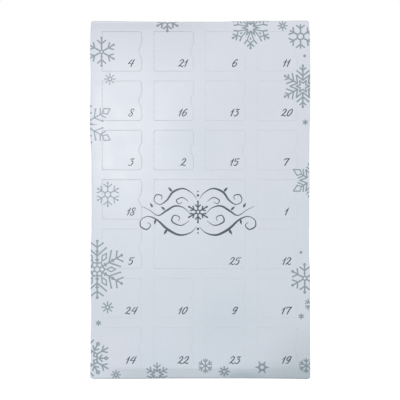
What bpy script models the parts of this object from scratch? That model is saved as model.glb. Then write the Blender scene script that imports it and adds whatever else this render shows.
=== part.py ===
"""Advent calendar: a flat carton with a door for each day and a chocolate behind it.

Units are metres, with +Z up. The carton stands on its bottom end, its front faces
-Y, and the origin is the middle of the bottom face. One blank of board makes the
carton and its doors. A formed tray holds one chocolate behind each door.
"""

import math
from typing import NamedTuple

import bmesh
import bpy

MM = 0.001

# The number on each door, row by row from the top. A number that fills several
# cells marks one large window across all of them.
CALENDAR_ROWS = (
    (4, 21, 6, 11),
    (8, 16, 13, 20),
    (3, 2, 15, 7),
    (18, 25, 25, 1),
    (5, 25, 25, 12),
    (24, 10, 9, 17),
    (14, 22, 23, 19),
)

# The window grid on the front panel
WINDOW_WIDTH = 40 * MM
WINDOW_HEIGHT = 40 * MM
COLUMN_GAP = 12 * MM
ROW_GAP = 9.5 * MM
LEFT_MARGIN = 11.5 * MM
RIGHT_MARGIN = 12.5 * MM
TOP_MARGIN = 11 * MM
BOTTOM_MARGIN = 12 * MM

# The carton
CARTON_DEPTH = 15 * MM
BOARD_THICKNESS = 0.5 * MM
FOLD_RADIUS = 0.8 * MM
FOLD_STEPS = 3
END_FOLD_SHARE = 0.9
END_FLAP_FRONT_SETBACK = 1 * MM
END_FLAP_SIDE_SETBACK = 0.5 * MM
END_FLAP_CORNER_RADIUS = 3 * MM
SEAM_SETBACK = 1 * MM

# The doors: straight cuts above and below, round corners and a thumb notch on the
# free edge, and a perforated crease on the left edge
CUT_GAP = 0.3 * MM
DOOR_CORNER_RADIUS = 3 * MM
DOOR_CORNER_STEPS = 3
NOTCH_DEPTH = 3 * MM
NOTCH_HALF_LENGTH = 9 * MM
NOTCH_STEPS = 8

# The tray
TRAY_SHEET = 0.5 * MM
TRAY_CLEARANCE = 0.3 * MM
TRAY_CORNER_RADIUS = 2 * MM
TRAY_SKIRT_DEPTH = 4 * MM
POCKET_LEDGE = 4 * MM
POCKET_CORNER_RADIUS = 6 * MM
POCKET_CORNER_STEPS = 3
POCKET_DRAFT = math.radians(8)
POCKET_FLOOR_CHAMFER = 1.5 * MM

# The chocolates
CHOCOLATE_CLEARANCE = 0.3 * MM
CHOCOLATE_HEADSPACE = 1.7 * MM
CHOCOLATE_CHAMFER = 1.5 * MM

# Working allowances
CUTTER_OVERRUN = 1 * MM
SMALLEST_RADIUS = 0.1 * MM
SMOOTH_ANGLE = math.radians(30)
RIGHT_ANGLE = math.radians(90)

# Sizes that follow from the ones above
COLUMN_PITCH = WINDOW_WIDTH + COLUMN_GAP
ROW_PITCH = WINDOW_HEIGHT + ROW_GAP
COLUMNS = len(CALENDAR_ROWS[0])
ROWS = len(CALENDAR_ROWS)
CARTON_WIDTH = COLUMNS * COLUMN_PITCH - COLUMN_GAP + LEFT_MARGIN + RIGHT_MARGIN
CARTON_HEIGHT = ROWS * ROW_PITCH - ROW_GAP + TOP_MARGIN + BOTTOM_MARGIN
FRONT_Y = -CARTON_DEPTH / 2
BACK_Y = CARTON_DEPTH / 2
END_THICKNESS = 2 * BOARD_THICKNESS
END_FLAP_OVERLAP = BOARD_THICKNESS / 2
FLANGE_FRONT_Y = FRONT_Y + BOARD_THICKNESS + TRAY_CLEARANCE
POCKET_FLOOR_Y = BACK_Y - BOARD_THICKNESS - TRAY_CLEARANCE - TRAY_SHEET
CHOCOLATE_FRONT_Y = FLANGE_FRONT_Y + CHOCOLATE_HEADSPACE


class Window(NamedTuple):
    """One window in the front panel, by its middle and its size."""

    number: int
    x: float
    z: float
    width: float
    height: float
    notched: bool


def find_windows():
    """Every window, in the order of the numbers on their doors."""
    cells = {}
    for row, numbers in enumerate(CALENDAR_ROWS):
        for column, number in enumerate(numbers):
            cells.setdefault(number, []).append((column, row))
    windows = []
    for number, places in sorted(cells.items()):
        columns = [column for column, row in places]
        rows = [row for column, row in places]
        columns_over = max(columns) - min(columns)
        rows_over = max(rows) - min(rows)
        width = WINDOW_WIDTH + columns_over * COLUMN_PITCH
        height = WINDOW_HEIGHT + rows_over * ROW_PITCH
        left = LEFT_MARGIN - CARTON_WIDTH / 2 + min(columns) * COLUMN_PITCH
        top = CARTON_HEIGHT - TOP_MARGIN - min(rows) * ROW_PITCH
        notched = columns_over == 0
        windows.append(
            Window(number, left + width / 2, top - height / 2, width, height, notched)
        )
    return windows


def arc(x, z, radius, start, steps):
    """Points of a quarter turn about (x, z), anticlockwise from the start angle."""
    angles = [start + RIGHT_ANGLE * step / steps for step in range(steps + 1)]
    return [(x + radius * math.cos(a), z + radius * math.sin(a)) for a in angles]


def rounded_rectangle(width, height, radius, steps):
    """The outline of a rectangle with four round corners, anticlockwise."""
    radius = max(radius, SMALLEST_RADIUS)
    x = width / 2 - radius
    z = height / 2 - radius
    points = []
    for quarter, (side_x, side_z) in enumerate(((1, -1), (1, 1), (-1, 1), (-1, -1))):
        start = RIGHT_ANGLE * (quarter - 1)
        points += arc(side_x * x, side_z * z, radius, start, steps)
    return points


def door_cut(window, inset):
    """The outline of a door's cut, moved in by inset, about the window's middle."""
    radius = max(DOOR_CORNER_RADIUS - inset, SMALLEST_RADIUS)
    half_width = window.width / 2 - inset
    half_height = window.height / 2 - inset
    corner_x = half_width - radius
    corner_z = half_height - radius
    notch = []
    if window.notched:
        for step in range(NOTCH_STEPS + 1):
            along = 2 * step / NOTCH_STEPS - 1
            dip = NOTCH_DEPTH * (1 + math.cos(math.pi * along)) / 2
            notch.append((half_width - dip, along * NOTCH_HALF_LENGTH))
    return (
        [(-half_width, -half_height)]
        + arc(corner_x, -corner_z, radius, -RIGHT_ANGLE, DOOR_CORNER_STEPS)
        + notch
        + arc(corner_x, corner_z, radius, 0, DOOR_CORNER_STEPS)
        + [(-half_width, half_height)]
    )


def pocket_ring(window, y, offset, extra_inset=0):
    """The pocket wall's outline at depth y, with the wall moved out by offset."""
    inset = (y - FLANGE_FRONT_Y) * math.tan(POCKET_DRAFT) - offset + extra_inset
    outline = rounded_rectangle(
        window.width - 2 * (POCKET_LEDGE + inset),
        window.height - 2 * (POCKET_LEDGE + inset),
        POCKET_CORNER_RADIUS - inset,
        POCKET_CORNER_STEPS,
    )
    return [(x, y, z) for x, z in outline]


def pocket_floor_rings(window, offset):
    """The last two outlines of a pocket: where its floor chamfer starts and ends."""
    floor_y = POCKET_FLOOR_Y + offset
    chamfer_y = floor_y - POCKET_FLOOR_CHAMFER
    ease = POCKET_FLOOR_CHAMFER * (1 - math.tan(POCKET_DRAFT))
    return [
        pocket_ring(window, chamfer_y, offset),
        pocket_ring(window, floor_y, offset, ease),
    ]


def add_loft(bm, rings, x=0, z=0):
    """Adds one closed body through rings of as many points each, moved by x and z.

    Returns the rings' vertices.
    """
    loops = []
    for ring in rings:
        loops.append([bm.verts.new((px + x, py, pz + z)) for px, py, pz in ring])
    for near, far in zip(loops, loops[1:]):
        for i in range(len(near)):
            bm.faces.new((near[i - 1], near[i], far[i], far[i - 1]))
    bm.faces.new(loops[0])
    bm.faces.new(loops[-1])
    return loops


def add_prism(bm, outline, near_y, far_y, x=0, z=0):
    """Adds one closed body with the same outline from near_y to far_y."""
    rings = [[(px, y, pz) for px, pz in outline] for y in (near_y, far_y)]
    add_loft(bm, rings, x, z)


def add_box(bm, low, high):
    """Adds a box between two corners and returns its edges."""
    corners = [
        bm.verts.new((x, y, z))
        for x in (low[0], high[0])
        for y in (low[1], high[1])
        for z in (low[2], high[2])
    ]
    sides = ((0, 1, 3, 2), (4, 6, 7, 5), (0, 4, 5, 1), (2, 3, 7, 6), (0, 2, 6, 4), (1, 5, 7, 3))
    faces = [bm.faces.new([corners[i] for i in side]) for side in sides]
    return list({edge for face in faces for edge in face.edges})


def round_edges(bm, edges, radius):
    bmesh.ops.bevel(
        bm, geom=edges, offset=radius, segments=FOLD_STEPS, profile=0.5, affect="EDGES"
    )


def make_material(name, color, roughness, metallic=0):
    material = bpy.data.materials.new(name)
    material.use_nodes = True
    shader = material.node_tree.nodes["Principled BSDF"]
    shader.inputs["Base Color"].default_value = (*color, 1)
    shader.inputs["Roughness"].default_value = roughness
    shader.inputs["Metallic"].default_value = metallic
    material.diffuse_color = (*color, 1)
    return material


def make_mesh(name, bm, material=None):
    """A mesh of what bm holds, with its faces pointing out and round parts smooth."""
    bmesh.ops.recalc_face_normals(bm, faces=bm.faces)
    mesh = bpy.data.meshes.new(name)
    bm.to_mesh(mesh)
    bm.free()
    mesh.shade_smooth()
    mesh.set_sharp_from_angle(angle=SMOOTH_ANGLE)
    if material:
        mesh.materials.append(material)
    return mesh


def make_object(name, mesh, location=(0, 0, 0)):
    piece = bpy.data.objects.new(name, mesh)
    piece.location = location
    bpy.context.scene.collection.objects.link(piece)
    return piece


def apply_shape(piece, operation, name, bm):
    """Joins the bodies in bm to the piece, or cuts them from it."""
    shape = make_object(name, make_mesh(name, bm))
    shape.hide_render = True
    shape.display_type = "WIRE"
    modifier = piece.modifiers.new(name, "BOOLEAN")
    modifier.operation = operation
    modifier.solver = "EXACT"
    modifier.object = shape


def carton_end_flaps():
    """The outer flap of each end, folded over from the back panel."""
    bm = bmesh.new()
    half_width = CARTON_WIDTH / 2 - END_FLAP_SIDE_SETBACK
    front_y = FRONT_Y + END_FLAP_FRONT_SETBACK
    corner_x = half_width - END_FLAP_CORNER_RADIUS
    corner_y = front_y + END_FLAP_CORNER_RADIUS
    outline = [(half_width, BACK_Y), (-half_width, BACK_Y)]
    outline += [
        (x, y)
        for turn, side in ((2, -1), (3, 1))
        for x, y in arc(
            side * corner_x, corner_y, END_FLAP_CORNER_RADIUS, turn * RIGHT_ANGLE, FOLD_STEPS
        )
    ]
    folds = []
    for outer_z, inward in ((0, 1), (CARTON_HEIGHT, -1)):
        inner_z = outer_z + inward * (BOARD_THICKNESS + END_FLAP_OVERLAP)
        loops = add_loft(bm, [[(x, y, z) for x, y in outline] for z in (outer_z, inner_z)])
        folds.append(bm.edges.get(loops[0][:2]))
    round_edges(bm, folds, END_FOLD_SHARE * min(FOLD_RADIUS, BOARD_THICKNESS))
    return bm


def carton_hollow():
    """The space inside the carton, stepped in over the glue flap by the left side."""
    bm = bmesh.new()
    x = CARTON_WIDTH / 2 - BOARD_THICKNESS
    y = CARTON_DEPTH / 2 - BOARD_THICKNESS
    flap_x = LEFT_MARGIN - CARTON_WIDTH / 2
    flap_y = y - BOARD_THICKNESS
    outline = [(-x, -y), (x, -y), (x, y), (flap_x, y), (flap_x, flap_y), (-x, flap_y)]
    ends = (END_THICKNESS, CARTON_HEIGHT - END_THICKNESS)
    add_loft(bm, [[(px, py, z) for px, py in outline] for z in ends])
    return bm


def carton_seam():
    """The groove where the back panel's cut edge stops short of the left side."""
    bm = bmesh.new()
    low = (-CARTON_WIDTH / 2 - CUTTER_OVERRUN, BACK_Y - BOARD_THICKNESS, -CUTTER_OVERRUN)
    high = (
        -CARTON_WIDTH / 2 + SEAM_SETBACK,
        BACK_Y + CUTTER_OVERRUN,
        CARTON_HEIGHT + CUTTER_OVERRUN,
    )
    add_box(bm, low, high)
    return bm


def carton_windows(windows):
    bm = bmesh.new()
    for window in windows:
        add_prism(
            bm,
            door_cut(window, 0),
            FRONT_Y - CUTTER_OVERRUN,
            FRONT_Y + BOARD_THICKNESS + CUTTER_OVERRUN,
            window.x,
            window.z,
        )
    return bm


def make_carton(windows, board):
    """The folded and glued blank: a closed box with a window for each door."""
    bm = bmesh.new()
    x = CARTON_WIDTH / 2
    low_z = BOARD_THICKNESS
    high_z = CARTON_HEIGHT - BOARD_THICKNESS
    edges = add_box(bm, (-x, FRONT_Y, low_z), (x, BACK_Y, high_z))
    folds = []
    for edge in edges:
        first, second = (v.co for v in edge.verts)
        upright = first.z != second.z
        across_front = first.x != second.x and first.y < 0
        if upright or across_front:
            folds.append(edge)
    round_edges(bm, folds, FOLD_RADIUS)
    carton = make_object("carton", make_mesh("carton", bm, board))
    apply_shape(carton, "UNION", "end_flaps", carton_end_flaps())
    apply_shape(carton, "DIFFERENCE", "hollow", carton_hollow())
    apply_shape(carton, "DIFFERENCE", "seam", carton_seam())
    apply_shape(carton, "DIFFERENCE", "windows", carton_windows(windows))


def make_doors(windows, board):
    """A door in each window, with its origin on the crease at its left edge."""
    meshes = {}
    for window in windows:
        hinge_x = window.x - window.width / 2 + CUT_GAP / 2
        kind = (window.width, window.height)
        if kind not in meshes:
            bm = bmesh.new()
            outline = door_cut(window, CUT_GAP)
            add_prism(bm, outline, 0, BOARD_THICKNESS, x=window.x - hinge_x)
            meshes[kind] = make_mesh("door", bm, board)
        name = f"door_{window.number:02d}"
        make_object(name, meshes[kind], (hinge_x, FRONT_Y, window.z))


def make_tray(windows, plastic):
    """The formed tray: a flange behind the front panel, a skirt and the pockets."""
    width = CARTON_WIDTH - 2 * (BOARD_THICKNESS + TRAY_CLEARANCE)
    height = CARTON_HEIGHT - 2 * (END_THICKNESS + TRAY_CLEARANCE)
    middle_z = CARTON_HEIGHT / 2
    flange_back_y = FLANGE_FRONT_Y + TRAY_SHEET
    skirt_y = FLANGE_FRONT_Y + TRAY_SKIRT_DEPTH

    slab = bmesh.new()
    outer = rounded_rectangle(width, height, TRAY_CORNER_RADIUS, POCKET_CORNER_STEPS)
    add_prism(slab, outer, FLANGE_FRONT_Y, skirt_y, z=middle_z)
    tray = make_object("tray", make_mesh("tray", slab, plastic))

    hollow = bmesh.new()
    inner = rounded_rectangle(
        width - 2 * TRAY_SHEET,
        height - 2 * TRAY_SHEET,
        TRAY_CORNER_RADIUS - TRAY_SHEET,
        POCKET_CORNER_STEPS,
    )
    add_prism(hollow, inner, flange_back_y, skirt_y + CUTTER_OVERRUN, z=middle_z)
    apply_shape(tray, "DIFFERENCE", "skirt_hollow", hollow)

    shells = bmesh.new()
    hollows = bmesh.new()
    for window in windows:
        shell_start = pocket_ring(window, FLANGE_FRONT_Y + TRAY_SHEET / 2, TRAY_SHEET)
        rings = [shell_start] + pocket_floor_rings(window, TRAY_SHEET)
        add_loft(shells, rings, window.x, window.z)
        mouth = pocket_ring(window, FLANGE_FRONT_Y - CUTTER_OVERRUN, 0)
        rings = [mouth] + pocket_floor_rings(window, 0)
        add_loft(hollows, rings, window.x, window.z)
    apply_shape(tray, "UNION", "pocket_shells", shells)
    apply_shape(tray, "DIFFERENCE", "pocket_hollows", hollows)


def make_chocolates(windows, chocolate):
    """A moulded block in each pocket, chamfered round its front."""
    meshes = {}
    for window in windows:
        kind = (window.width, window.height)
        if kind not in meshes:
            bm = bmesh.new()
            offset = -CHOCOLATE_CLEARANCE
            rings = [
                pocket_ring(window, CHOCOLATE_FRONT_Y, offset, CHOCOLATE_CHAMFER),
                pocket_ring(window, CHOCOLATE_FRONT_Y + CHOCOLATE_CHAMFER, offset),
            ]
            add_loft(bm, rings + pocket_floor_rings(window, offset))
            meshes[kind] = make_mesh("chocolate", bm, chocolate)
        name = f"chocolate_{window.number:02d}"
        make_object(name, meshes[kind], (window.x, 0, window.z))


def main():
    for leftover in list(bpy.data.objects):
        bpy.data.objects.remove(leftover)
    windows = find_windows()
    board = make_material("coated boxboard", (0.71, 0.74, 0.80), 0.35)
    plastic = make_material("gold PET sheet", (0.72, 0.52, 0.22), 0.3)
    chocolate = make_material("milk chocolate", (0.13, 0.05, 0.02), 0.4)
    make_carton(windows, board)
    make_doors(windows, board)
    make_tray(windows, plastic)
    make_chocolates(windows, chocolate)


main()
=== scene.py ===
import math
from typing import NamedTuple

import bmesh
import bpy
import numpy as np
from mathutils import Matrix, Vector, geometry


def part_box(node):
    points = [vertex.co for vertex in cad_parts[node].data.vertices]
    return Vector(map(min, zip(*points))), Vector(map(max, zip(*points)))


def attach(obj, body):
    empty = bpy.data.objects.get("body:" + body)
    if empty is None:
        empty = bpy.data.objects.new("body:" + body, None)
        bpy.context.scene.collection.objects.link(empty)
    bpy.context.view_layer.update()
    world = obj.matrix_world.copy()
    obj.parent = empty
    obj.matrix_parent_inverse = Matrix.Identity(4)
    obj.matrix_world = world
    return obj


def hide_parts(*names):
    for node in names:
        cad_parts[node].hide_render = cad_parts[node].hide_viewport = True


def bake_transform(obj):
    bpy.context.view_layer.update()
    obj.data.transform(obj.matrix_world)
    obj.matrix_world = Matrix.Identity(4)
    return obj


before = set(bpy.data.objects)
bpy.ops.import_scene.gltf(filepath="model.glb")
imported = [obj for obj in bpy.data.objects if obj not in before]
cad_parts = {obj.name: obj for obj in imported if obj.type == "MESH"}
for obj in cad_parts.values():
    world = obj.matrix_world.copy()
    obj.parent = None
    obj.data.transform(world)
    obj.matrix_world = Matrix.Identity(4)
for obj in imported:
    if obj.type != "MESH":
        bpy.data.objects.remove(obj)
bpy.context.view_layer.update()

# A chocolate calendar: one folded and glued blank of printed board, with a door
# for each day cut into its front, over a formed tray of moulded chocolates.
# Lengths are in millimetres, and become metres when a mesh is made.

MM = 0.001
RIGHT_ANGLE = math.pi / 2


# Small helpers
def linear(text):
    """A colour written as sRGB hex, as the linear values that Blender takes."""
    parts = [int(text[i : i + 2], 16) / 255 for i in (1, 3, 5)]
    return (*(p / 12.92 if p <= 0.04045 else ((p + 0.055) / 1.055) ** 2.4 for p in parts), 1.0)


def node(tree, kind, values=None, **settings):
    """Adds one node: its settings, and a value or a link for each named input."""
    made = tree.nodes.new(kind)
    for name, value in settings.items():
        setattr(made, name, value)
    for name, value in (values or {}).items():
        if isinstance(value, bpy.types.Node):
            value = value.outputs[0]
        if isinstance(value, bpy.types.NodeSocket):
            tree.links.new(value, made.inputs[name])
        else:
            made.inputs[name].default_value = value
    return made


def blank_tree(owner):
    """The node tree of a material or a world, emptied."""
    owner.use_nodes = True
    owner.node_tree.nodes.clear()
    return owner.node_tree


def put_in_scene(name, data):
    made = bpy.data.objects.new(name, data)
    bpy.context.scene.collection.objects.link(made)
    return made


def show(name, vertices, faces, materials, sharp, shades=None):
    """A mesh object from places in millimetres, with sharp edges past an angle in
    degrees. Shades number each face's material, which is the first where none are given."""
    mesh = bpy.data.meshes.new(name)
    mesh.from_pydata((np.asarray(vertices, float) * MM).tolist(), [], faces)
    for material in materials:
        mesh.materials.append(material)
    if shades is not None:
        mesh.polygons.foreach_set("material_index", np.asarray(shades, np.int32))
    mesh.polygons.foreach_set("use_smooth", np.ones(len(faces), bool))
    mesh.set_sharp_from_angle(angle=math.radians(sharp))
    mesh.update()
    return put_in_scene(name, mesh)


# Finishes
NOISE_LOW, NOISE_HIGH = 0.3, 0.7  # nearly all of Blender's noise lies between these


def finish(name, describe):
    """A material with one Principled shader, from a function that gives its inputs."""
    material = bpy.data.materials.new(name)
    tree = blank_tree(material)
    place = node(tree, "ShaderNodeTexCoord").outputs["Object"]
    shader = node(tree, "ShaderNodeBsdfPrincipled", describe(tree, place))
    node(tree, "ShaderNodeOutputMaterial", {"Surface": shader})
    return material


def mottled(tree, place, size, low, high, detail=2.0):
    """Soft noise from low to high, with patches of one size in millimetres."""
    spread = node(tree, "ShaderNodeMapping", {"Vector": place, "Scale": (1 / MM / size,) * 3})
    noise = node(tree, "ShaderNodeTexNoise", {"Vector": spread, "Scale": 1.0, "Detail": detail})
    return node(tree, "ShaderNodeMapRange", {
        "Value": noise, "From Min": NOISE_LOW, "From Max": NOISE_HIGH,
        "To Min": low, "To Max": high})


def toned(tree, colour, shades, share=1.0):
    """A colour made lighter or darker by shades that vary over the surface."""
    for shade in shades:
        mixed = node(tree, "ShaderNodeMix", {"Factor": share, "A": colour, "B": shade},
                     data_type="RGBA", blend_type="MULTIPLY")
        colour = mixed.outputs[2]
    return colour


def with_printed_shades(tree, place, colour):
    """Painted shade and light over the colour, on the front alone: soft darker and lighter patches
    that stand in for how the light falls.
    """
    across = node(tree, "ShaderNodeSeparateXYZ", {0: place}).outputs
    front = node(tree, "ShaderNodeMapRange", {
        "Value": across["Y"], "From Min": FRONT_FADE[0] * MM, "From Max": FRONT_FADE[1] * MM})
    for tone, *ramps in PAINTED_LEVEL_SHADES:
        share = front
        for axis, start, end in ramps:
            share = node(tree, "ShaderNodeMapRange", {
                "Value": across[axis], "From Min": start * MM, "From Max": end * MM,
                "To Min": 0.0, "To Max": share})
        colour = toned(tree, colour, [(*tone, 1)], share)
    for tone, x, z, reach_x, reach_z in PAINTED_ROUND_SHADES:
        about = node(tree, "ShaderNodeMapping", {
            "Vector": place, "Location": (-x / reach_x, 0, -z / reach_z),
            "Scale": (1 / MM / reach_x, 0, 1 / MM / reach_z)})
        away = node(tree, "ShaderNodeVectorMath", {0: about}, operation="LENGTH")
        share = node(tree, "ShaderNodeMapRange", {
            "Value": away.outputs["Value"], "From Min": 1.0, "From Max": SHADE_CORE,
            "To Min": 0.0, "To Max": front}, interpolation_type="SMOOTHSTEP")
        colour = toned(tree, colour, [(*tone, 1)], share)
    return colour


def skin(name, colour, clouds, gloss, grain, fixed, with_painted_shade=False):
    """A smooth surface whose colour, gloss and fine relief all vary a little.

    Each cloud of the colour, and the gloss, is a size in millimetres, then its least and
    its greatest share or roughness, and its detail where that isn't the usual one. The
    grain is its size, detail, strength and depth. A printed surface also takes the
    front's painted shade and light.
    """

    def inputs(tree, place):
        shade = toned(tree, linear(colour), [mottled(tree, place, *cloud) for cloud in clouds])
        size, detail, strength, depth = grain
        height = mottled(tree, place, size, 0, 1, detail)
        bump = node(tree, "ShaderNodeBump", {
            "Height": height, "Strength": strength, "Distance": depth * MM})
        # Printed faces take the front's painted shade and light over their colour
        return {"Base Color": with_printed_shades(tree, place, shade) if with_painted_shade else shade,
                "Roughness": mottled(tree, place, *gloss), "Normal": bump, **fixed}

    return finish(name, inputs)


def printed(name, colour, roughness):
    """Offset ink on clay-coated folding board under a satin varnish.

    The varnish gives one broad soft sheen, the ink lies a little uneven on the
    coating, and the board under it is very slightly wavy. Painted shade and light lie
    over the front's colour.
    """
    gloss = (VARNISH_CLOUD_MM, roughness - 0.03, roughness + 0.03)
    return skin(name, colour, INK_CLOUDS, gloss, COATING_GRAIN, {"IOR": 1.5}, with_painted_shade=True)


def bare_board(name, colour, along, across):
    """Uncoated board: its matt surface shows the pulp's fibres and a few dark specks."""

    def inputs(tree, place):
        drawn = node(tree, "ShaderNodeMapping", {
            "Vector": place, "Scale": [1 / MM / size for size in (across, along, along)]})
        fibre = node(tree, "ShaderNodeTexNoise", {"Vector": drawn, "Scale": 1.0, "Detail": 4.0})
        light = node(tree, "ShaderNodeMapRange", {
            "Value": fibre, "From Min": NOISE_LOW, "From Max": NOISE_HIGH, "To Min": 0.9,
            "To Max": 1.05})
        apart = node(tree, "ShaderNodeMapping", {
            "Vector": place, "Scale": (1 / MM / SPECK_GAP_MM,) * 3})
        speck = node(tree, "ShaderNodeTexVoronoi", {"Vector": apart, "Scale": 1.0})
        pulp = node(tree, "ShaderNodeMapRange", {
            "Value": speck, "From Min": 0.05, "From Max": 0.12, "To Min": 0.72, "To Max": 1.0})
        bump = node(tree, "ShaderNodeBump", {
            "Height": fibre, "Strength": 0.4, "Distance": 0.02 * MM})
        return {"Base Color": toned(tree, linear(colour), (light, pulp)), "Normal": bump,
                "Roughness": 0.9, "IOR": 1.45}

    return finish(name, inputs)


def rubbed(name, colour, darker):
    """The coating beside a cut, painted greyer as shade for the shadow in the cut line:
    as dark as the mesh's own attribute for the die's press says, and uneven along the line."""

    def inputs(tree, place):
        press = node(tree, "ShaderNodeAttribute", attribute_name="press")
        patchy = mottled(tree, place, CUT_SHADE_PATCH_MM, 0.7, 1.3)
        uneven = node(tree, "ShaderNodeMath", {0: press.outputs["Fac"], 1: patchy},
                      operation="MULTIPLY")
        shade = node(tree, "ShaderNodeMix", {
            "Factor": uneven, "A": linear(colour), "B": linear(darker)}, data_type="RGBA")
        return {"Base Color": with_printed_shades(tree, place, shade.outputs[2]),
                "Roughness": 0.45, "IOR": 1.5}

    return finish(name, inputs)


# Painted shade and light on the front, for how the light falls there, that change along straight
# lines: what each leaves of the red, green and blue light, then the ramps it grows along, each as its
# axis, start and end
PAINTED_LEVEL_SHADES = (
    ((1.04, 1.0, 1.0), ("Z", 0, 360)),
    ((0.87, 0.875, 0.875), ("X", -98, -72), ("X", 110, 40), ("Z", 11.0, 10.6)),
    ((0.80, 0.85, 0.85), ("X", 20, 60), ("Z", 20, 0)),
    ((0.915, 0.915, 0.915), ("X", 50, -20), ("Z", 312, 360)),
    ((0.977, 0.977, 0.977), ("X", 50, 0), ("Z", 350.6, 351.2)),
)
# Painted shade and light that fade out all round: the same, then the middle and the
# reach, each across and up
PAINTED_ROUND_SHADES = (
    ((0.84, 0.84, 0.84), 110, 0, 64, 64), ((0.97, 0.97, 0.97), 110, 0, 200, 200),
    ((0.80, 0.85, 0.85), 42, 2, 30, 9), ((1.05, 1.02, 1.02), -88, 28, 36, 36),
    ((0.955, 0.975, 0.975), 25, 65, 50, 55), ((0.955, 0.97, 0.975), -10, 235, 45, 45),
)
FRONT_FADE = (-5.6, -6.4)  # how deep the shades reach round the front's folds
SHADE_CORE = 0.12  # the share of a round shade's reach where it is full
# Ink that drifts slowly over the sheet, and specks that are really about 0.3 mm, drawn
# as coarse as they need to show. The coating's grain is really about 0.2 mm
INK_CLOUDS = ((38, 0.99, 1.01), (2.6, 0.992, 1.008))
COATING_GRAIN = (1.1, 3, 0.12, 0.004)
VARNISH_CLOUD_MM, CUT_SHADE_PATCH_MM, SPECK_GAP_MM = 16, 9, 3.1

PALE_ICE = printed("board_coated_offset_pale_ice", "#d2dae3", 0.23)
FLAKE_INK = printed("board_coated_offset_mist_slate", "#8a99a2", 0.22)
NUMBER_INK = printed("board_coated_offset_deep_slate", "#3b4b57", 0.21)
BARE_BACK = bare_board("board_uncoated_back", "#cfcdc6", 5.0, 0.9)
CUT_EDGE = bare_board("board_die_cut_edge", "#c9ccce", 0.8, 0.8)
# Painted shade: the greyer coating beside each cut stands in for the shadow in the cut line
PAINTED_CUT_SHADE = rubbed("board_coated_painted_cut_shade", "#d2dae3", "#b0b6be")
BOARD_MATERIALS = (PALE_ICE, FLAKE_INK, NUMBER_INK, BARE_BACK, CUT_EDGE, PAINTED_CUT_SHADE)
PALE, FLAKE, NUMBER, BACK, EDGE, CUT_SHADE = range(6)


# The printed artwork
INK_GAIN = 1.25  # the ink spreads a little past the plate's line


def bar(a, b, width, overrun=0.35):
    """A straight stroke from a to b, run past both ends by a share of its width."""
    dx, dz = b[0] - a[0], b[1] - a[1]
    length = math.hypot(dx, dz)
    ux, uz = dx / length, dz / length
    e, h = overrun * width, INK_GAIN * width / 2
    corners = ((a, -1, -1), (b, 1, -1), (b, 1, 1), (a, -1, 1))
    return [(p[0] + t * ux * e - s * uz * h, p[1] + t * uz * e + s * ux * h)
            for p, t, s in corners]


def at_turns(x, z, radius, turns):
    """Places on a circle, at turns in radians."""
    return [(x + radius * math.cos(a), z + radius * math.sin(a)) for a in turns]


def disc(x, z, radius, steps=12):
    return at_turns(x, z, radius, (2 * math.pi * i / steps for i in range(steps)))


def smooth_line(points, steps):
    """A curve through points of place and width, with steps between each two."""
    padded = [points[0], *points, points[-1]]
    return [
        tuple(b + ((c - a) * t + (2 * a - 5 * b + 4 * c - d) * t**2
                   + (3 * b - a - 3 * c + d) * t**3) / 2 for a, b, c, d in zip(*four))
        for four in zip(padded, padded[1:], padded[2:], padded[3:])
        for t in (i / steps for i in range(steps))
    ] + [points[-1]]


def brushed(points, cap=3):
    """The outline of a brush stroke of changing width, with round ends."""
    left, right = [], []
    for i, (x, z, width) in enumerate(points):
        (ax, az, _), (bx, bz, _) = points[max(i - 1, 0)], points[min(i + 1, len(points) - 1)]
        d = math.hypot(bx - ax, bz - az)
        nx, nz = (az - bz) / d * width / 2, (bx - ax) / d * width / 2
        left.append((x + nx, z + nz))
        right.append((x - nx, z - nz))

    def round_end(tip, inner):
        heading = math.atan2(tip[1] - inner[1], tip[0] - inner[0])
        turns = (heading - RIGHT_ANGLE + math.pi * k / (cap + 1) for k in range(1, cap + 1))
        return at_turns(tip[0], tip[1], tip[2] / 2, turns)

    return (right + round_end(points[-1], points[-2])
            + left[::-1] + round_end(points[0], points[1]))


def ribbon(points, width, overrun=0.35):
    """Straight strokes from point to point."""
    return [bar(a, b, width, overrun) for a, b in zip(points, points[1:])]


# The parts of one arm of a flake. Each takes distances along the arm and to its side,
# and gives a function that draws it where the arm puts such a place
LINE = 1.2


def stem(near, far, width=LINE):
    return lambda put: ribbon([put(near, 0), put(far, 0)], width, 0)


def crossbar(along, half, width=LINE):
    return lambda put: ribbon([put(along, -half), put(along, half)], width, 0)


def side_lines(near, near_side, far, far_side, width=LINE):
    return lambda put: [
        bar(put(near, s * near_side), put(far, s * far_side), width, 0.3) for s in (-1, 1)
    ]


def fork(root, side, far, width=LINE):
    return side_lines(root, 0, far, side, width)


def bead(along, radius):
    return lambda put: [disc(*put(along, 0), radius)]


def side_beads(along, side, radius):
    return lambda put: [disc(*put(along, s * side), radius) for s in (-1, 1)]


def spike(near, far, side):
    return lambda put: [[put(near, -side), put(far, 0), put(near, side)]]


def lozenge(near, middle, side, far):
    return lambda put: [[put(near, 0), put(middle, -side), put(far, 0), put(middle, side)]]


def kite(near, middle, side, far, width=LINE):
    def outline(put):
        (line,) = lozenge(near, middle, side, far)(put)
        return ribbon(line + line[:1], width)

    return outline


def hub_star(tip, valley, width=LINE):
    """One sixth of a star's outline, with its valley on this arm."""
    return side_lines(valley, 0, tip * math.cos(math.pi / 6), tip * math.sin(math.pi / 6), width)


def hub_ring(radius, width=LINE):
    """One sixth of a ring, as four chords."""
    turns = [math.pi / 12 * k for k in range(-2, 3)]
    return lambda put: ribbon(
        [put(radius * math.cos(a), radius * math.sin(a)) for a in turns], width, 0.25)


def star_point(radius, valley=0.45):
    """One point of a small solid six-pointed star, with its valleys at a share of it."""
    depth = valley * radius
    return lozenge(0, depth * math.cos(math.pi / 6), depth * math.sin(math.pi / 6), radius)


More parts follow.
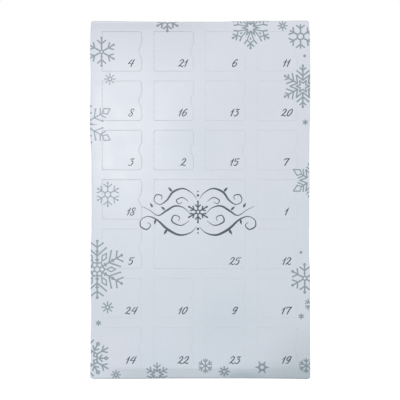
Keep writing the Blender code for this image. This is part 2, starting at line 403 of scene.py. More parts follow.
# Each flake's number of arms, what every arm holds, and what lies between the arms
FLAKES = {
    "beaded": (6, [hub_ring(1.75, 1.0), stem(1.9, 13.2), lozenge(3.4, 5.0, 1.1, 6.8),
                   fork(7.8, 4.1, 11.6), bead(14.0, 1.3)]),
    "wide_beaded": (6, [hub_ring(1.9, 1.1), stem(1.9, 13.2), lozenge(3.6, 5.3, 1.1, 7.2),
                        fork(7.8, 4.8, 11.4), bead(13.9, 1.5)]),
    "ring_beaded": (6, [hub_ring(2.9, 0.9), stem(3.2, 11, 0.9), fork(6.9, 4.1, 10.3, 0.9),
                        bead(11.6, 1.05)]),
    "short_beaded": (6, [hub_ring(3.0, 1.2), stem(3.3, 10.5, 1.35), fork(5.8, 4.1, 9.0, 1.35),
                         bead(11.3, 1.45)]),
    "leafy": (6, [hub_star(6.8, 3.1, 0.95), kite(3.4, 12.4, 3.4, 15.5, 1.0),
                  side_lines(12.5, 3.4, 15.9, 6.1), lozenge(8.8, 11.6, 1.0, 12.6),
                  fork(15.4, 3.3, 18.7), stem(15.2, 19.8), bead(20.4, 1.3)],
              [spike(5.4, 10.2, 1.45)]),
    "forked": (6, [hub_ring(3.2), stem(3.9, 12.2), fork(7.9, 4.1, 11.1)]),
    "double_star": (6, [hub_star(13.0, 6.1), hub_star(6.7, 3.0, 1.1), stem(6.1, 20.0),
                        fork(10.5, 5.9, 15.6), fork(16.1, 3.0, 18.6), bead(20.7, 1.3)]),
    "kite_tipped": (6, [stem(7, 22.7, 1.0), fork(13.1, 6.8, 18.5, 1.0),
                        side_beads(18.6, 6.8, 1.1), fork(20, 5.4, 23, 1.0),
                        kite(22.7, 26.2, 3.3, 31.4, 0.95)], [spike(4.0, 15.4, 1.25)]),
    "small_kite_tipped": (6, [hub_star(12.5, 5.5, 1.1), stem(5.75, 12.4, 1.1),
                              fork(9.7, 5.2, 13.4, 1.1), kite(12.4, 15.7, 3.3, 21.7, 1.0)]),
    "great": (6, [hub_star(8.0, 6.0, 1.1), hub_star(2.5, 3.5, 1.0), stem(3.4, 28, 1.15),
                  lozenge(7.4, 9.5, 2.2, 11.6), lozenge(16.0, 18, 2.1, 20.0),
                  fork(13.7, 9, 21.5), side_beads(21.6, 9, 0.95), fork(22.1, 5.8, 26.2),
                  side_beads(26.3, 5.8, 0.95), bead(28.3, 1.5)],
              [kite(9.4, 14.0, 2.4, 18.6, 1.0)]),
    "laced": (6, [kite(4.4, 6.5, 2.3, 8.7, 1.1), stem(8.6, 14.4), fork(13.9, 3.9, 18.2),
                  stem(14, 21.4)],
              [crossbar(7.4, 4.2), fork(9.2, 3.3, 12.4), stem(9.0, 15),
               kite(14.6, 16.4, 1.5, 18.1)]),
    "heavy": (6, [hub_star(6.4, 2.9, 1.1), stem(3.4, 12.2, 1.1), fork(6.8, 3.4, 9.6, 1.05)]),
    "bold": (6, [stem(0, 7.6, 0.95), fork(3.6, 2.3, 6.2, 1.0)]),
    "sun": (6, [hub_ring(2.8, 1.6)], [spike(2.6, 7.8, 1.6)]),
    "fine_rays": (8, [hub_ring(1.7, 0.8), stem(1.9, 5.9, 0.8)]),
    "big_rays": (8, [hub_ring(1.7, 1.0), stem(1.9, 6.0, 1.05)]),
    "rays": (8, [hub_ring(1.6, 1.0), stem(1.8, 5.1, 1.0)]),
    "dark_rays": (8, [hub_ring(1.9, 1.2), stem(2.1, 5.6, 1.35)]),
    "star": (6, [star_point(3.7)]),
    "dot": (1, [bead(0, 1.5)]),
    "edge_dot": (1, [bead(0, 1.1)]),
}

# Each flake's pattern and its middle, across and up
PRINTED_FLAKES = (
    ("beaded", -99.0, 328.6), ("fine_rays", -90.7, 301.3), ("short_beaded", -33.0, 360.8),
    ("leafy", 50.5, 352.7), ("rays", 82.6, 354.8), ("forked", 100.6, 344.0),
    ("dot", 104.7, 324.5), ("double_star", 102.9, 294.0), ("star", 105.4, 257.9),
    ("kite_tipped", -117.6, 255.7), ("ring_beaded", -92.8, 185.5), ("great", -103.4, 110.3),
    ("big_rays", -93.0, 72.3), ("star", -102.2, 56.4), ("laced", -110.8, 21.2),
    ("rays", -84.6, 4.4), ("heavy", -43.4, 4.7), ("bold", 5.2, 13.5), ("dark_rays", 24.1, 7.7),
    ("sun", 62.0, 12.0), ("bold", 106.1, 13.6), ("wide_beaded", 104.7, 101.3),
    ("bold", 112.0, 75.1), ("star", 101.3, 63.2), ("dot", 101.0, 127.4),
    ("small_kite_tipped", 112.3, 199.6),
    *(("edge_dot", -109.4, z) for z in (274.0, 267.3, 260.3, 256.6, 251.5, 244.3, 237.8)),
)


def flake(pattern, x, z):
    """A flake round its middle. A six-armed one has its first arm at 30 degrees."""
    arms, *layers = pattern
    shapes = []
    for layer, first in zip(layers, (30 if arms == 6 else 0, 0)):
        for arm in range(arms):
            a = math.radians(first) + 2 * math.pi * arm / arms
            ca, sa = math.cos(a), math.sin(a)

            def put(along, side, ca=ca, sa=sa):
                return (x + along * ca - side * sa, z + along * sa + side * ca)

            for part in layer:
                shapes += part(put)
    return shapes


# Each digit's reach left and right, then its brush strokes, as points across and up and
# the pen's width there: hundredths of the digit's height, upright here, and of the pen
DIGITS = {
    "0": (-16, 36, [
        [(18, 100, 70), (-10, 78, 100), (-15, 30, 110), (3, 0, 90), (30, 25, 100), (34, 72, 110),
         (20, 100, 80)]]),
    "1": (-16, 14, [
        [(-30, 52, 40), (-16, 68, 60), (0, 90, 80)],
        [(0, 100, 80), (-1, 50, 112), (0, 0, 92)]]),
    "2": (-14, 44, [
        [(-22, 70, 60), (-14, 90, 80), (5, 100, 90), (24, 84, 110), (20, 52, 110), (0, 20, 90),
         (-12, 3, 80)],
        [(-12, 4, 70), (6, 14, 90), (26, 6, 110), (44, 1, 90), (58, 14, 40)]]),
    "3": (-12, 42, [
        [(-17, 86, 70), (0, 97, 100), (14, 92, 90), (30, 99, 60)],
        [(30, 98, 60), (16, 78, 60), (2, 60, 60)],
        [(2, 60, 60), (24, 60, 90), (38, 38, 110), (24, 4, 100), (-2, 2, 80), (-12, 16, 50)]]),
    "4": (-50, 12, [
        [(-26, 96, 80), (-40, 68, 90), (-54, 42, 70)],
        [(-54, 42, 70), (-20, 41, 70), (18, 46, 50)],
        [(6, 100, 90), (2, 50, 115), (0, 0, 100)]]),
    "5": (-14, 36, [
        [(-20, 92, 70), (0, 95, 90), (16, 92, 90), (32, 100, 60)],
        [(-18, 92, 80), (-20, 74, 90), (-18, 56, 70)],
        [(-18, 56, 60), (6, 64, 80), (30, 46, 110), (26, 12, 110), (4, 0, 90), (-14, 12, 50)]]),
    "6": (-18, 36, [
        [(26, 88, 60), (14, 100, 80), (-6, 82, 100), (-18, 42, 110), (-8, 6, 100), (12, 0, 90),
         (32, 24, 100), (26, 52, 90), (4, 52, 60), (-14, 32, 50)]]),
    "7": (-30, 14, [
        [(-40, 76, 65), (-28, 95, 105), (-6, 93, 95), (26, 100, 85)],
        [(26, 100, 85), (10, 50, 120), (4, 0, 105)]]),
    "8": (-20, 30, [
        [(19, 84, 70), (12, 100, 80), (-12, 98, 100), (-22, 78, 100), (-2, 55, 100),
         (24, 30, 100), (16, 3, 100), (-14, 2, 90), (-22, 22, 70), (0, 46, 60), (18, 70, 60),
         (20, 90, 60)]]),
    "9": (-20, 30, [
        [(24, 86, 70), (12, 100, 90), (-12, 90, 100), (-20, 60, 100), (-4, 44, 90), (18, 58, 70),
         (28, 92, 80)],
        [(28, 96, 80), (27, 50, 110), (12, 6, 100), (-12, 6, 60)]]),
}
DIGIT_HEIGHT, DIGIT_PEN, DIGIT_SLANT, DIGIT_SPACE = 7.1, 1.03, 0.45, 20
DIGIT_STEPS, SCROLL_STEPS = 4, 8  # between each two points of a stroke


def number_shapes(number, x, z):
    """A slanting handwritten number, centred on its place."""
    shapes, pen = [], 0
    size = DIGIT_HEIGHT / 100
    for mark in str(number):
        left, right, strokes = DIGITS[mark]
        pen -= left
        for stroke in strokes:
            points = [((pen + px + DIGIT_SLANT * pz) * size, pz * size, w / 100 * DIGIT_PEN)
                      for px, pz, w in stroke]
            shapes.append(brushed(smooth_line(points, DIGIT_STEPS)))
        pen += right + DIGIT_SPACE
    every = np.array([p for shape in shapes for p in shape])
    middle = (every.min(axis=0) + every.max(axis=0)) / 2
    return [[(px - middle[0] + x, pz - middle[1] + z) for px, pz in shape] for shape in shapes]


# The scroll in the middle of the front: the right half's brush strokes and leaves,
# about its own middle. The left half mirrors them
SCROLL_MIDDLE = (-2.3, 167.9)
SCROLL_STROKES = (
    ((1.5, -15, 0.4), (8, -21, 1.0), (19, -23, 2.0), (31, -17, 2.5), (41, -8, 1.7),
     (50, -4.5, 0.9), (57, -8, 0.9), (57.5, -14.5, 1.3), (51.5, -17.5, 1.3),
     (47.5, -13.5, 0.9), (50.5, -10.5, 0.5)),
    ((1.5, 13, 0.4), (6, 19, 0.8), (15, 23.5, 1.5), (25, 20, 2.1), (31, 12, 1.6),
     (38, 7.5, 0.9), (44, 11, 0.8), (42, 17, 1.2), (36.5, 16.5, 1.0), (36.5, 12.5, 0.6)),
    ((7, -3, 0.4), (14, 4, 0.9), (23, 6, 1.7), (32, 1, 1.9), (40, -3.5, 1.0), (49, 2, 0.6),
     (56, 5.5, 0.4)),
    ((9, -9, 0.4), (17, -13.5, 1.0), (26, -9.5, 1.5), (24, -3.5, 1.1), (18.5, -5.2, 0.8),
     (19.5, -9, 0.5)),
    ((9.5, 10.5, 0.4), (15.5, 14.5, 1.0), (21.5, 11.8, 1.1), (19.5, 8.2, 0.8), (16, 9.8, 0.5)),
)
# Each leaf's foot, its turn in degrees, its length and half its width
SCROLL_LEAVES = (
    (31, -17.5, -58, 6.5, 1.3), (26, 20.5, 48, 6.0, 1.2), (45.5, 4.5, 62, 5.5, 1.1),
    (33, 2.0, 40, 5.5, 1.1), (42.5, -7.5, -78, 5.5, 1.1),
)
SCROLL_STAR = (6, [hub_ring(1.9, 1.0), stem(2, 9.6, 1.15), fork(4.6, 2.6, 7.2, 1.1),
                   lozenge(8.6, 10.3, 1.1, 12.0)])
# The dots above and below the star: height over the middle, and radius
SCROLL_DOTS = ((16.6, 1.3), (-17.0, 1.3), (20.6, 0.8), (-21.0, 0.8))


def leaf(x, z, turn, length, half):
    ca, sa = math.cos(math.radians(turn)), math.sin(math.radians(turn))
    shares = [i / 8 for i in range(1, 8)]
    upper = [(length * t, half * math.sin(math.pi * t**0.7)) for t in shares]
    around = [(0, 0)] + [(b, -s) for b, s in upper] + [(length, 0)] + upper[::-1]
    return [(x + b * ca - s * sa, z + b * sa + s * ca) for b, s in around]


def scroll_shapes():
    x, z = SCROLL_MIDDLE
    half = [brushed(smooth_line(stroke, SCROLL_STEPS)) for stroke in SCROLL_STROKES]
    half += [leaf(*sizes) for sizes in SCROLL_LEAVES]
    shapes = [[(x + s * px, z + pz) for px, pz in shape] for shape in half for s in (-1, 1)]
    shapes += flake(SCROLL_STAR, x, z)
    return shapes + [disc(x, z + up, radius) for up, radius in SCROLL_DOTS]


# The board, cut flat
BOARD = 0.5  # thickness
FOLD = 0.8  # outer radius of every fold
FOLD_ARC = FOLD * RIGHT_ANGLE
FOLD_STEPS = 6
HALF_WIDTH, HALF_DEPTH, HEIGHT = 110.0, 7.5, 360.0
FRONT_Y = -HALF_DEPTH
FLAT_WIDTH = 2 * (HALF_WIDTH - FOLD)
FLAT_DEPTH = 2 * (HALF_DEPTH - FOLD)
SEAM_SETBACK = 1.0  # the back's cut edge stops short of the left fold
GLUE_FLAP, GLUE_GAP = 10.7, 0.02  # the flap's width, and the room it leaves at the back
GLUE_TAPER = (3, 5, 1.5)  # its cut corner: how far in, and how far down it starts and ends
# The straight runs of the blank from left to right: width, and the level at which
# its end flap is scored, measured from the carton's foot. The glue flap has none
RUNS = (
    (GLUE_FLAP, None),
    (FLAT_DEPTH - BOARD - GLUE_GAP, 358.2),
    (FLAT_WIDTH, 358.68),
    (FLAT_DEPTH, 358.2),
    (FLAT_WIDTH - (SEAM_SETBACK - FOLD), 359.2),
)
# Each end flap's reach after its fold, its setback at the sides, and its corners
FLAPS = (None, (30, 0.3, 6), (12.8, 0.5, 3), (30, 0.3, 6), (13.2, 0.5, 3))
SLOT_END = 358.0  # the cuts between the end flaps stop here
EVEN = 6.0  # spacing of the mesh over the front
SUPPORT = 0.3  # extra line beside each fold, so that its shading stays on it
FRONT_END = 2  # the upright lines in the front's margins stop this far from its ends

WINDOW_INSET = 0.12  # from the die line
CRUSH_WIDTH = 0.2  # the die rounds the coating down beside each cut
CREASE_CLEAR = 1  # the coating this near a crease takes no painted cut shade between its cuts
CORNER_RADIUS, CORNER_STEPS = 3.0, 8
BRIDGE_PITCH, BRIDGE_LENGTH = 5.5, 2.75
BRIDGE_HOLD = 0.1  # how far a bridge runs into the board on both sides of the cut
BRIDGE_RECESS = 0.02  # how far its front and back lie inside the board
BRIDGE_END_GAP = 2.5  # the bridges' steps leave at least this much of a door's height
NOTCH_DEPTH, NOTCH_HALF_LENGTH, NOTCH_STEPS = 3.0, 9.0, 24

# How hard the die pressed, which also sets how dark the painted cut shade is, as shares
# at places across and levels up the front: most at the upper left, least at the lower right
PRESS_ACROSS = ((-100, -60, -26, -6, 26, 45, 100), (1.0, 0.85, 0.75, 0.5, 0.3, 0.2, 0.25))
PRESS_UP = ((90, 111, 151, 160, 180, 335, 350), (0.25, 0.35, 0.5, 0.7, 1.0, 1.0, 1.8))
CRUSH_DEPTH = 0.05
NARROWEST_CUT, CUT_SPREAD = 0.034, 0.02
CAD_CUT = 0.3  # the CAD door is this much smaller than its window all round
LARGE_DOOR = 50  # a wider door is the large one
WINDOWS_REACH = 175  # no window lies further from the front's middle level
TOUCH = 0.01  # places this close count as the same
MERGE = 1e-5  # places this close become one when a sheet is cut


class Window(NamedTuple):
    """One window in the front: its middle, its size, and whether its door is small."""

    x: float
    z: float
    width: float
    height: float
    small: bool


def find_windows():
    """Each window, by the number on its door."""
    windows = {}
    for name in sorted(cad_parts):
        if name.startswith("door_"):
            low, high = (np.array(c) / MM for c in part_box(name))
            x, _, z = (low + high) / 2
            width, _, height = high - low + 2 * CAD_CUT
            windows[int(name[-2:])] = Window(x, z, width, height, width < LARGE_DOOR)
    return windows


WINDOWS = find_windows()


def creased_edge(window):
    """Where the carton's cut edge lies beside a door's crease."""
    return window.x - window.width / 2 + WINDOW_INSET


def press(s, t):
    return np.interp(s, *PRESS_ACROSS) * np.interp(t, *PRESS_UP)


def corner(x, z, radius, first, steps=CORNER_STEPS):
    """A quarter turn about (x, z), anticlockwise from the first angle in degrees."""
    turns = (math.radians(first + 90 * i / steps) for i in range(steps + 1))
    return at_turns(x, z, radius, turns)


def rectangle(left, low, right, high):
    return [(left, low), (right, low), (right, high), (left, high)]


def even_counts(ring):
    """How many steps divide each stretch of a closed line evenly."""
    return [max(1, round(math.dist(a, b) / EVEN)) for a, b in zip(ring, ring[1:] + ring[:1])]


def stepped(a, b, count):
    """Places from a to b at even steps, with both ends."""
    return [tuple(p + (q - p) * i / count for p, q in zip(a, b)) for i in range(count + 1)]


def spaced(ring, counts):
    """A closed line with each stretch divided into so many steps."""
    stretches = zip(ring, ring[1:] + ring[:1], counts)
    return [place for a, b, count in stretches for place in stepped(a, b, count)[:-1]]


def door_line(window, inset):
    """The die line round a door, moved in by inset: straight on the creased left, with
    round corners and a small door's thumb notch on the right."""
    radius = CORNER_RADIUS - inset
    half_w, half_h = window.width / 2 - inset, window.height / 2 - inset
    x, z = window.x, window.z
    shares = [2 * i / NOTCH_STEPS - 1 for i in range(NOTCH_STEPS + 1)] if window.small else []
    free_edge = [
        (x + half_w - NOTCH_DEPTH * (1 + math.cos(math.pi * t)) / 2, z + t * NOTCH_HALF_LENGTH)
        for t in shares
    ]
    lower, upper = (corner(x + half_w - radius, z + s * (half_h - radius), radius, first)
                    for s, first in ((-1, -90), (1, 0)))
    return [(x - half_w, z - half_h)] + lower + free_edge + upper + [(x - half_w, z + half_h)]


def door_inset(window):
    """What the die takes off a door: the cut is wider where it pressed harder."""
    return WINDOW_INSET + NARROWEST_CUT + CUT_SPREAD * float(press(window.x, window.z))


def bridge_levels(window):
    """The levels of the bridges of board that hold a door along its left edge."""
    count = int((window.height - BRIDGE_END_GAP) // BRIDGE_PITCH)
    return [window.z + BRIDGE_PITCH * (i - (count - 1) / 2) for i in range(count)]


def perforations(window, left, right):
    """The cuts between the bridges, as narrow rectangles from left to right."""
    half, reach = BRIDGE_LENGTH / 2, window.height / 2
    ends = [v for level in bridge_levels(window) for v in (level - half, level + half)]
    ends = [window.z - reach, *ends, window.z + reach]
    return [rectangle(left, a, right, b) for a, b in zip(ends[::2], ends[1::2])]


def is_perforated(window, levels):
    gaps = np.abs(levels[:, None] - np.array(bridge_levels(window))[None])
    return gaps.min(axis=1) > BRIDGE_LENGTH / 2 - TOUCH


class Sheet:
    """Places on the flat, the lines that join them, and the triangles between them."""

    def __init__(self):
        self.places, self.lines = [], []

    def join(self, points, closed=True):
        """Adds places and the lines between them, closed into a loop or left open."""
        start, count = len(self.places), len(points)
        self.places += points
        lines = [(start + i, start + (i + 1) % count) for i in range(count)]
        self.lines += lines if closed else lines[:-1]

    def line(self, a, b):
        self.join(stepped(a, b, max(1, round(math.dist(a, b) / EVEN))), closed=False)

    def dots(self, low, high, step):
        for s in np.arange(low[0] + step / 2, high[0], step):
            self.places += [(s, t) for t in np.arange(low[1] + step / 2, high[1], step)]

    def cut(self, outline, holes, inks):
        """Triangles inside the outline and outside the holes, with an ink for each."""
        for _, shapes in inks:
            for shape in shapes:
                self.join(shape)
        corners = [Vector(p) for p in self.places]
        places, _, faces, *_ = geometry.delaunay_2d_cdt(corners, self.lines, [], 0, MERGE)
        places, faces = np.array([tuple(p) for p in places]), np.array(faces)
        middles = places[faces].mean(axis=1)
        kept = within(outline, middles)
        for hole in holes:
            kept &= ~within(hole, middles)
        faces, middles = faces[kept], middles[kept]
        a, b, c = places[faces[:, 0]], places[faces[:, 1]], places[faces[:, 2]]
        turned = (b[:, 0] - a[:, 0]) * (c[:, 1] - a[:, 1]) < (b[:, 1] - a[:, 1]) * (c[:, 0] - a[:, 0])
        faces[turned] = faces[turned][:, ::-1]
        ink = np.zeros(len(faces), int)
        for shade, shapes in inks:
            for shape in shapes:
                ink[within(shape, middles)] = shade
        used, faces = np.unique(faces, return_inverse=True)
        return places[used], faces.reshape(-1, 3), ink


def within(outline, points):
    """Which points lie in a closed outline. An outline may cross itself."""
    outline = np.asarray(outline)
    found = np.zeros(len(points), bool)
    near = np.nonzero(
        (points >= outline.min(axis=0)).all(axis=1) & (points <= outline.max(axis=0)).all(axis=1)
    )[0]
    if not len(near):
        return found
    x, z = points[near].T
    turns = np.zeros(len(near), int)
    for (ax, az), (bx, bz) in zip(outline, np.roll(outline, -1, axis=0)):
        side = (bx - ax) * (z - az) - (x - ax) * (bz - az)
        turns += (az <= z) & (bz > z) & (side > 0)
        turns -= (az > z) & (bz <= z) & (side < 0)
    found[near] = turns != 0
    return found


def touching(shapes, low, high):
    """The shapes that reach into a rectangle."""
    return [shape for shape in shapes
            if (np.max(shape, axis=0) > low).all() and (np.min(shape, axis=0) < high).all()]


# The board, folded
BOARD_SHARP = 18  # degrees


def ahead(heading):
    return np.stack([np.cos(heading), np.sin(heading)], axis=-1)


def outward(heading):
    return np.stack([np.sin(heading), -np.cos(heading)], axis=-1)


def find_girth():
    """Where each run and fold of the blank starts, seen from above, and its heading."""
    place = np.array([GLUE_FLAP + FOLD - HALF_WIDTH, HALF_DEPTH - BOARD - GLUE_GAP])
    heading = math.pi
    s = -(FLAT_WIDTH / 2 + 2 * FOLD_ARC + RUNS[1][0] + GLUE_FLAP)
    girth = []
    for width, _ in RUNS:
        girth.append((s, s + width, place, heading, False))
        place = place + width * ahead(heading)
        s += width
        girth.append((s, s + FOLD_ARC, place, heading, True))
        place = place + FOLD * (outward(heading + RIGHT_ANGLE) - outward(heading))
        heading += RIGHT_ANGLE
        s += FOLD_ARC
    return girth[:-1]


GIRTH = find_girth()
SPANS = [(start, end) for start, end, *_ in GIRTH[::2]]


def fold_up(flat):
    """Where each place on the flat blank goes, and which way the board faces there."""
    s, t = flat.T
    place, facing = np.zeros((len(s), 2)), np.zeros((len(s), 2))
    for i, (start, _, at, heading, folded) in enumerate(GIRTH):
        here = s >= start if i else np.ones(len(s), bool)
        along = s[here] - start
        turn = heading + along / FOLD * folded
        facing[here] = outward(turn)
        if folded:
            place[here] = at + FOLD * (outward(turn) - outward(heading))
        else:
            place[here] = at + along[:, None] * ahead(heading)
    score = np.full(len(s), HEIGHT * 2)
    for (start, end), (_, level) in zip(SPANS, RUNS):
        if level:
            score[(s > start) & (s < end)] = level
    past = np.maximum(np.abs(t - HEIGHT / 2) - (score - HEIGHT / 2), 0)
    turn = np.minimum(past / FOLD, RIGHT_ANGLE)
    inward = FOLD * (1 - np.cos(turn)) + np.maximum(past - FOLD_ARC, 0)
    end = np.sign(t - HEIGHT / 2)
    up = np.where(past > 0, HEIGHT / 2 + end * (score - HEIGHT / 2 + FOLD * np.sin(turn)), t)
    folded_place = np.column_stack([place - facing * inward[:, None], up])
    folded_facing = np.column_stack([facing * np.cos(turn)[:, None], end * np.sin(turn)])
    return folded_place, folded_facing


# How far the glued board gives: the hollow of the front, the roll of its margins, and
# the inward bow of the side edges, as level and depth pairs for the left and the right
HOLLOW, MARGIN_ROLL, FOOT_TILT, TOP_TILT = 0.26, 0.22, 0.3, 0.25
MARGIN = 11.0
SIDE_BOWS = {
    -1: ((0, -0.5), (14, -0.5), (20, -0.1), (44, -0.3), (52, 0.3), (76, 0.4), (88, -0.2),
         (128, -0.2), (145, 0.7), (165, 1.1), (224, 0.9), (238, 0.0), (247, -0.5), (272, -0.5),
         (285, 0.0), (308, 0.1), (322, -0.5), (336, -0.5), (352, 0.0), (358, 0.4)),
    1: ((0, -0.5), (104, -0.4), (126, 0.65), (178, 0.8), (200, 0.3), (217, 0.8), (245, 0.45),
        (262, 0.0), (290, -0.3), (312, -0.4), (322, -0.1), (346, -0.1), (352, 0.6), (358, 0.8)),
}
# The same for the top and bottom edges of the front, as places across and depths
END_BOWS = {
    1: ((-104, 0.2), (-77, 0.75), (-41, 1.1), (23, 1.2), (32, 0.7), (50, 0.3), (62, 0.05),
        (76, 0.25), (90, 0.0), (104, -0.2)),
    -1: ((-107, 0.4), (-65, 0.4), (-23, 0.95), (43, 1.1), (67, 0.8), (98, 0.3), (107, 0.0)),
}


def rolled(gap):
    """The share of a margin's give at a gap from the edge: none past the margin."""
    return np.clip((MARGIN - gap) / MARGIN, 0, 1) ** 2


def settle(places):
    """Moves places on the carton as its board gives. The back and the middle stay."""
    x, y, z = places.T
    front = np.clip((HALF_DEPTH - y) / (2 * HALF_DEPTH), 0, 1)
    across, up = x / HALF_WIDTH, 2 * z / HEIGHT - 1
    inward = (HOLLOW * (1 - across**4) * (1 - up**6) + FOOT_TILT * rolled(z)
              + MARGIN_ROLL * rolled(HALF_WIDTH - np.abs(x)) + TOP_TILT * rolled(HEIGHT - z))
    aside, rise = 0, 0
    for side, bow in SIDE_BOWS.items():
        aside = aside - side * rolled(HALF_WIDTH - side * x) * np.interp(z, *zip(*bow))
    for end, bow in END_BOWS.items():
        near = rolled(HEIGHT / 2 - end * (z - HEIGHT / 2)) * front
        rise = rise - end * near * np.interp(x, *zip(*bow))
    return np.column_stack([x + aside, y + inward * front, z + rise])


def board_piece(name, flat, faces, ink, shape, crushed):
    """Folds a cut sheet and gives it its thickness, its back and its cut edges."""
    place, facing = shape(flat)
    pairs = np.concatenate([faces[:, [0, 1]], faces[:, [1, 2]], faces[:, [2, 0]]])
    codes = pairs.min(axis=1) * len(flat) + pairs.max(axis=1)
    _, first, counts = np.unique(codes, return_index=True, return_counts=True)
    rim = pairs[first[counts == 1]]
    inner = place - facing * BOARD
    lowered = np.unique(rim[crushed(flat[rim].mean(axis=1))])
    outer = place.copy()
    pressed = press(*flat.T)
    outer[lowered] -= facing[lowered] * CRUSH_DEPTH * pressed[lowered, None]
    count = len(flat)
    quads = np.column_stack([rim[:, 1], rim[:, 0], rim[:, 0] + count, rim[:, 1] + count])
    every = faces.tolist() + (faces[:, ::-1] + count).tolist() + quads.tolist()
    shades = np.concatenate([ink, np.full(len(faces), BACK), np.full(len(quads), EDGE)])
    piece = show(name, settle(np.concatenate([outer, inner])), every, BOARD_MATERIALS,
                 BOARD_SHARP, shades)
    # The die's press share, kept on the mesh: it also sets how dark the painted cut shade is
    share = piece.data.attributes.new("press", "FLOAT", "POINT")
    share.data.foreach_set("value", np.tile(pressed, 2).astype(np.float32))
    return piece


def flap_line(start, end, level, flap):
    """An end flap's edge from left to right, from its slot, over its tip, to its slot."""
    reach, setback, radius = flap
    tip = level + FOLD_ARC + reach
    left, right = start + setback, end - setback
    over = (corner(right - radius, tip - radius, radius, 0)
            + corner(left + radius, tip - radius, radius, 90))
    return [(left, SLOT_END)] + over[::-1] + [(right, SLOT_END)]


def blank_line():
    """The outline of the whole blank."""
    start, end = SPANS[0]
    inset, drop, inner_drop = GLUE_TAPER
    upper = [(start, SLOT_END - drop), (start + inset, SLOT_END - inner_drop), (end, SLOT_END)]
    for (start, end), (_, level), flap in zip(SPANS[1:], RUNS[1:], FLAPS[1:]):
        upper += flap_line(start, end, level, flap)
    upper.append((SPANS[-1][1], SLOT_END))
    lower = [(s, HEIGHT - t) for s, t in upper]
    ring = lower + upper[::-1]
    return spaced(ring, even_counts(ring))


def fold_lines(start):
    """Where the mesh is divided across a fold, with one more line on both its sides."""
    steps = [start + FOLD_ARC * i / FOLD_STEPS for i in range(FOLD_STEPS + 1)]
    return [start - SUPPORT, *steps, start + FOLD_ARC + SUPPORT]


def cut_carton(inks):
    """The carton: the blank with its windows, printed, scored and folded up."""
    sheet = Sheet()
    outline = blank_line()
    sheet.join(outline)
    openings, cut_shades, clears, cuts = [], [], [], []
    for window in WINDOWS.values():
        openings.append(door_line(window, WINDOW_INSET))
        sheet.join(openings[-1])
        cut_shades.append(door_line(window, WINDOW_INSET - CRUSH_WIDTH))
        sheet.join(door_line(window, WINDOW_INSET - 2 * CRUSH_WIDTH))
        left, reach = creased_edge(window), window.height / 2 + CRUSH_WIDTH
        clears.append(rectangle(left - CREASE_CLEAR, window.z - reach, left, window.z + reach))
        cuts += perforations(window, left - CRUSH_WIDTH, left)
    # The rings beside the cuts and the cuts between the bridges take the painted cut shade, which
    # stands in for the shadow in the cut line
    inks = [(CUT_SHADE, cut_shades), (PALE, clears), (CUT_SHADE, cuts)] + inks
    for start, _, _, _, folded in GIRTH:
        if folded:
            for s in fold_lines(start):
                sheet.line((s, HEIGHT - SLOT_END), (s, SLOT_END))
    for (start, end), (_, level) in zip(SPANS, RUNS):
        if level:
            for t in fold_lines(level):
                sheet.line((start, t), (end, t))
                sheet.line((start, HEIGHT - t), (end, HEIGHT - t))
    half = FLAT_WIDTH / 2
    sheet.dots((-half, 0), (half, HEIGHT), EVEN)
    for t in (MARGIN, MARGIN / 2, HEIGHT - MARGIN, HEIGHT - MARGIN / 2):
        sheet.line((-half, t), (half, t))
    for s in (half - MARGIN, half - MARGIN / 2):
        for side in (s, -s):
            sheet.line((side, FRONT_END), (side, HEIGHT - FRONT_END))
    for first, last in ((3, 4), (0, 1)):
        sheet.dots((SPANS[first][0], 0), (SPANS[last][1], HEIGHT), 2 * EVEN)
    flat, faces, ink = sheet.cut(outline, openings, inks)
    ink[np.abs(flat[faces, 0].mean(axis=1)) > SPANS[3][1]] = PALE  # the back isn't printed

    def beside_a_window(places):
        s, t = places.T
        held = np.zeros(len(places), bool)
        for window in WINDOWS.values():
            on_crease = np.abs(s - creased_edge(window)) < TOUCH
            level_with = np.abs(t - window.z) < window.height / 2
            held |= on_crease & level_with & ~is_perforated(window, t)
        return (np.abs(s) < half) & (np.abs(t - HEIGHT / 2) < WINDOWS_REACH) & ~held

    return board_piece("folded_carton", flat, faces, ink, fold_up, beside_a_window)


# How a door sits in its window: how far its free edge stands out, its crown, and the
# lean of its upper corner
DOOR_LIFT, DOOR_CROWN, DOOR_LEAN = 0.02, 0.02, 0.01
DOOR_DOTS = 1  # the door's mesh has no dots nearer its edge than this


def cut_door(number, inks):
    """One door, with its share of the artwork and its slight set."""
    window = WINDOWS[number]
    inset = door_inset(window)
    outline = door_line(window, inset)
    low, high = np.min(outline, axis=0), np.max(outline, axis=0)
    clear = [(x - 2 * CRUSH_WIDTH * (x < low[0] + 2 * CRUSH_WIDTH), z)
             for x, z in door_line(window, inset + CRUSH_WIDTH)]
    cuts = perforations(window, low[0] - CRUSH_WIDTH, low[0] + CRUSH_WIDTH)
    # The door's rim and the cuts between its bridges take the painted cut shade, which stands in for
    # the shadow in the cut line
    inks = [(CUT_SHADE, [outline]), (PALE, [clear]), (CUT_SHADE, cuts)] + [
        (shade, touching(shapes, low, high)) for shade, shapes in inks
    ]
    sheet = Sheet()
    sheet.join(outline)
    sheet.join(door_line(window, inset + 2 * CRUSH_WIDTH))
    sheet.dots(low + DOOR_DOTS, high - DOOR_DOTS, EVEN)
    flat, faces, ink = sheet.cut(outline, [], inks)

    def shape(flat):
        share, up = ((flat - low) / (high - low)).T
        forward = (DOOR_LIFT * share + DOOR_LEAN * (2 * up - 1) * share
                   + DOOR_CROWN * np.sin(math.pi * share))
        place = np.column_stack([flat[:, 0], FRONT_Y - forward, flat[:, 1]])
        return place, np.tile([0.0, -1.0, 0.0], (len(flat), 1))

    def cut_free(places):
        return (places[:, 0] > low[0] + TOUCH) | is_perforated(window, places[:, 1])

    return board_piece(f"printed_door_{number:02d}", flat, faces, ink, shape, cut_free)


# Each number's place in from its door's right edge and up from its lower one. The
# artwork is a little taller than the die's grid of doors, by the share of NUMBER_DRIFT
NUMBER_IN, NUMBER_UP, NUMBER_DRIFT = 10.6, 7.85, 0.0033


